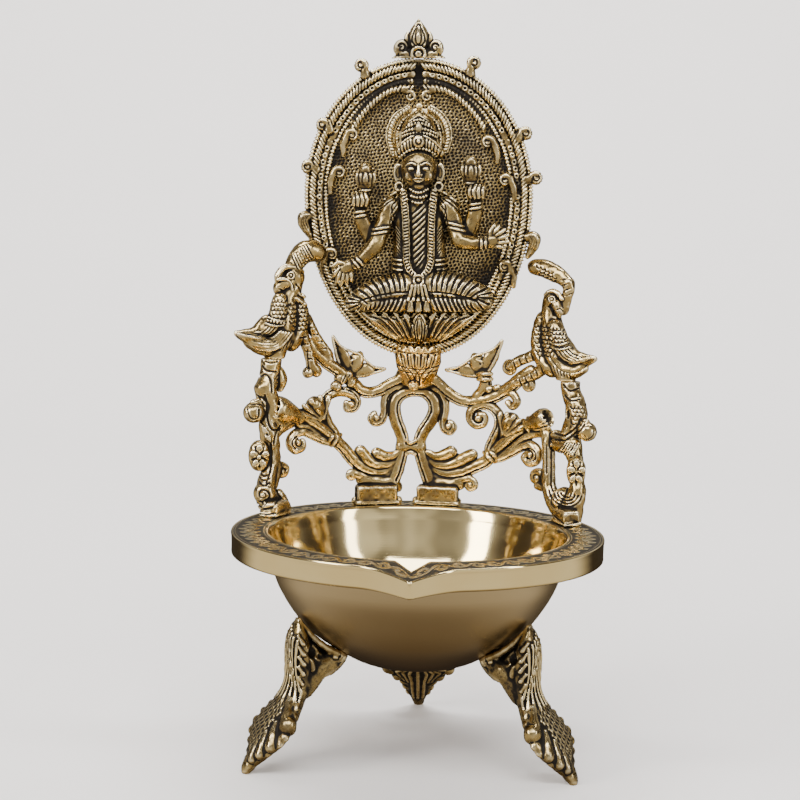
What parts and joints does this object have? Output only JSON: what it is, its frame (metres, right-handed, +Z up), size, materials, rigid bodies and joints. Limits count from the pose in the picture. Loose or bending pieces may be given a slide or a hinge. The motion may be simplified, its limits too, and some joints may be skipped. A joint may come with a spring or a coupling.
{
  "type": "standing oil lamp",
  "caption": "Brass oil lamp: spouted bowl on three leaf legs, with a screwed-on scrollwork back frame carrying an oval relief medallion.",
  "frame": {"origin": "on the table plane, in the middle of the lamp's footprint (its bounding box's bottom centre); the bowl's axis stands at x 3.85 mm, y 9.2 mm", "axes": "+Z up along the bowl's axis, -Y towards the pouring spout, the back frame stands at +Y"},
  "size_m": [0.2076, 0.2195, 0.3988],
  "materials": {
    "polished_brass": "polished, mirror-bright well and rim apron, satin shell",
    "antique_brass": "cast, black-brown patina in the recesses, buffed high spots",
    "plated_steel": "zinc-plated fasteners"
  },
  "bodies": {
    "root": {"oil_bowl": "polished_brass", "lotus_boss": "polished_brass", "centre_scroll_frame": "antique_brass", "left_side_pillar": "antique_brass", "right_side_pillar": "antique_brass", "left_parrot": "antique_brass", "right_parrot": "antique_brass", "medallion_border": "antique_brass", "medallion_plate": "antique_brass", "crest_finial": "antique_brass", "seated_figure": "antique_brass", "halo_arch": "antique_brass", "lotus_throne": "antique_brass", "leg_front_left": "antique_brass", "leg_front_right": "antique_brass", "leg_rear": "antique_brass", "frame_screw_centre_left": "plated_steel", "frame_screw_centre_right": "plated_steel", "frame_screw_side_left": "plated_steel", "frame_screw_side_right": "plated_steel", "frame_washer_centre_left": "plated_steel", "frame_washer_centre_right": "plated_steel", "frame_washer_side_left": "plated_steel", "frame_washer_side_right": "plated_steel", "leg_screw_front_left": "plated_steel", "leg_screw_front_right": "plated_steel", "leg_screw_rear": "plated_steel", "leg_washer_front_left": "plated_steel", "leg_washer_front_right": "plated_steel", "leg_washer_rear": "plated_steel"}
  },
  "joints": []
}
